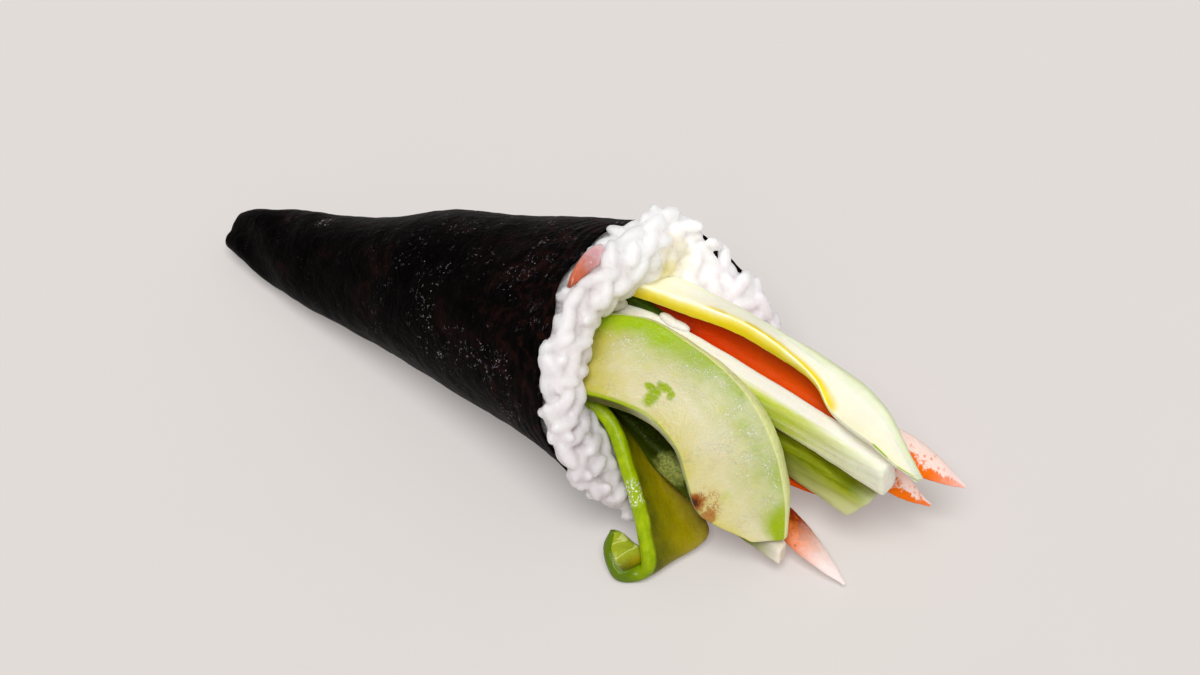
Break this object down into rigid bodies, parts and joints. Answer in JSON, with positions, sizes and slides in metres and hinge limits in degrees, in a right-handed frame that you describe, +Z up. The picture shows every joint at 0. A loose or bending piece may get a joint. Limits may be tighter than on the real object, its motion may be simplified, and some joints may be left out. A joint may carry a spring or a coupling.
{
  "type": "temaki hand roll",
  "caption": "Cone-shaped seaweed hand roll on its side, filled with rice, avocado slices, cucumber sticks and cooked prawns that fan out of its mouth.",
  "frame": {"origin": "middle of the roll's footprint, on the surface it lies on", "axes": "+X along the roll towards its open mouth, +Z up, +Y completes a right-handed frame"},
  "size_m": [0.1725, 0.0615, 0.0545],
  "materials": {
    "nori": "near-black toasted seaweed, satin with fine specks of shine",
    "rice": "moist translucent white grains",
    "avocado_flesh": "soft cream flesh, green at the skin side",
    "avocado_pale": "pale cream flesh with a yellow inner edge",
    "avocado_green": "olive green flesh with a bright green rim",
    "cucumber_flesh": "moist pale flesh with lime streaks",
    "cucumber_skin": "moist dark green skin over lime flesh",
    "prawn": "cooked orange flesh with pink and white tail fans",
    "prawn_pale": "translucent pink flake"
  },
  "bodies": {
    "root": {"nori_cone": "nori", "sushi_rice": "rice", "avocado_front": "avocado_flesh", "avocado_back": "avocado_pale", "avocado_curl": "avocado_green", "cucumber_center": "cucumber_flesh", "cucumber_right": "cucumber_skin", "cucumber_left": "cucumber_skin", "cucumber_inner": "cucumber_skin", "prawn_back": "prawn", "prawn_front": "prawn", "prawn_flake": "prawn_pale"}
  },
  "joints": []
}
